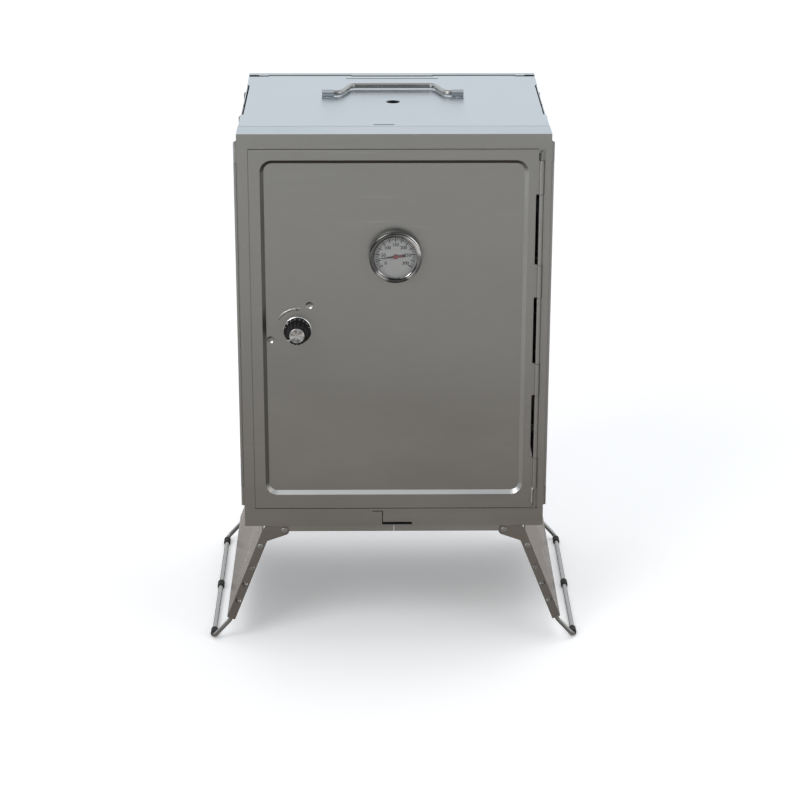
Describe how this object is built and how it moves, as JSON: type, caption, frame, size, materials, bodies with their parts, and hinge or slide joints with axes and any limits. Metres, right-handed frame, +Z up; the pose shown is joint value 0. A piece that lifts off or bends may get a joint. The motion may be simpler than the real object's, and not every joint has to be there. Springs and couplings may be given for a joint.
{
  "type": "folding camp oven",
  "caption": "Folding sheet steel camp oven with a hinged door, thermometer, turning latch, folding walls and lid, and a splayed folding stand for use over a burner.",
  "frame": {"origin": "on the ground, under the middle of the whole object's box", "axes": "+Z up, the door faces -Y, +X to the right seen from the front"},
  "size_m": [0.416, 0.306, 0.5962],
  "materials": {
    "panel_steel": "satin brushed stainless sheet",
    "wire_steel": "smooth drawn stainless wire and rod",
    "leg_steel": "brushed stainless sheet, brighter than the body",
    "bright_trim": "polished",
    "knob_black": "black moulded plastic with white marks",
    "dial_face": "pale silver dial with dark printed marks",
    "needle_paint": "dark painted needle with a red hub",
    "gauge_glass": "clear",
    "foot_rubber": "black rubber sleeve"
  },
  "bodies": {
    "frame": {"front_frame": "panel_steel", "latch_strike": "panel_steel", "door_hinge_pin": "wire_steel", "left_front_pin": "wire_steel", "right_front_pin": "wire_steel", "left_base_plate": "panel_steel", "right_base_plate": "panel_steel", "burner_ring": "panel_steel", "flame_plate": "panel_steel", "leg_pins": "wire_steel"},
    "door_leaf": {"door": "panel_steel", "latch_collar": "panel_steel", "latch_washer": "wire_steel", "gauge_case": "panel_steel", "gauge_bezel": "bright_trim", "gauge_glass": "gauge_glass", "gauge_dial": "dial_face", "gauge_stem": "wire_steel", "gauge_nut": "wire_steel"},
    "latch": {"knob": "knob_black", "knob_cap": "bright_trim", "latch_shaft": "wire_steel", "latch_arm": "panel_steel", "latch_nut": "wire_steel"},
    "needle": {"gauge_needle": "needle_paint"},
    "left_front_half": {"left_front_wall": "panel_steel", "left_front_rails": "panel_steel", "left_middle_pin": "wire_steel"},
    "left_rear_half": {"left_rear_wall": "panel_steel", "left_rear_rails": "panel_steel"},
    "right_front_half": {"right_front_wall": "panel_steel", "right_front_rails": "panel_steel", "right_middle_pin": "wire_steel"},
    "right_rear_half": {"right_rear_wall": "panel_steel", "right_rear_rails": "panel_steel"},
    "back": {"back_tray": "panel_steel", "left_back_pin": "wire_steel", "right_back_pin": "wire_steel", "top_hinge_pin": "wire_steel", "upper_rack": "wire_steel", "lower_rack": "wire_steel", "drip_tray": "panel_steel", "stow_clips": "panel_steel"},
    "top": {"top_plate": "panel_steel", "handle_lugs": "wire_steel", "lug_rivets": "wire_steel"},
    "handle": {"carry_handle": "wire_steel"},
    "left_stand_leg": {"left_leg": "leg_steel", "left_leg_rivets": "leg_steel", "left_foot_wire": "wire_steel", "left_foot_tips": "foot_rubber"},
    "right_stand_leg": {"right_leg": "leg_steel", "right_leg_rivets": "leg_steel", "right_foot_wire": "wire_steel", "right_foot_tips": "foot_rubber"}
  },
  "joints": [
    {"name": "body_fold", "type": "hinge", "parent": "frame", "child": "left_front_half", "pos_m": [-0.1676, -0.1084, 0.365], "axis": [0, 0, -1], "range_deg": [0, 84]},
    {"name": "left_middle_fold", "type": "hinge", "parent": "left_front_half", "child": "left_rear_half", "pos_m": [-0.1676, 0.0053, 0.365], "axis": [0, 0, 1], "range_deg": [0, 168]},
    {"name": "left_back_fold", "type": "hinge", "parent": "left_rear_half", "child": "back", "pos_m": [-0.1676, 0.119, 0.365], "axis": [0, 0, -1], "range_deg": [0, 84]},
    {"name": "right_front_fold", "type": "hinge", "parent": "frame", "child": "right_front_half", "pos_m": [0.1676, -0.1084, 0.365], "axis": [0, 0, 1], "range_deg": [0, 84]},
    {"name": "right_middle_fold", "type": "hinge", "parent": "right_front_half", "child": "right_rear_half", "pos_m": [0.1676, 0.0053, 0.365], "axis": [0, 0, -1], "range_deg": [0, 168]},
    {"name": "top_fold", "type": "hinge", "parent": "back", "child": "top", "pos_m": [0, 0.1389, 0.5844], "axis": [-1, 0, 0], "range_deg": [0, 90]},
    {"name": "door_hinge", "type": "hinge", "parent": "frame", "child": "door_leaf", "pos_m": [0.155, -0.1382, 0.365], "axis": [0, 0, 1], "range_deg": [0, 170]},
    {"name": "latch_turn", "type": "hinge", "parent": "door_leaf", "child": "latch", "pos_m": [-0.104, -0.137, 0.371], "axis": [0, -1, 0], "range_deg": [0, 95]},
    {"name": "needle_turn", "type": "hinge", "parent": "door_leaf", "child": "needle", "pos_m": [0.0015, -0.14, 0.455], "axis": [0, 1, 0], "range_deg": [-28, 222], "stiffness_Nm_per_rad": 0.0001},
    {"name": "handle_swing", "type": "hinge", "parent": "top", "child": "handle", "pos_m": [0, 0.034, 0.5921], "axis": [1, 0, 0], "range_deg": [0, 175]},
    {"name": "left_leg_fold", "type": "hinge", "parent": "frame", "child": "left_stand_leg", "pos_m": [-0.122, 0.008, 0.136], "axis": [0, -1, 0], "range_deg": [0, 95]},
    {"name": "right_leg_fold", "type": "hinge", "parent": "frame", "child": "right_stand_leg", "pos_m": [0.122, 0.008, 0.136], "axis": [0, 1, 0], "range_deg": [0, 113]}
  ],
  "couplings": [
    {"joint": "left_middle_fold", "follows": "body_fold", "ratio": 2},
    {"joint": "left_back_fold", "follows": "body_fold", "ratio": 1},
    {"joint": "right_front_fold", "follows": "body_fold", "ratio": 1},
    {"joint": "right_middle_fold", "follows": "body_fold", "ratio": 2},
    {"joint": "top_fold", "follows": "body_fold", "ratio": 1.0714}
  ]
}
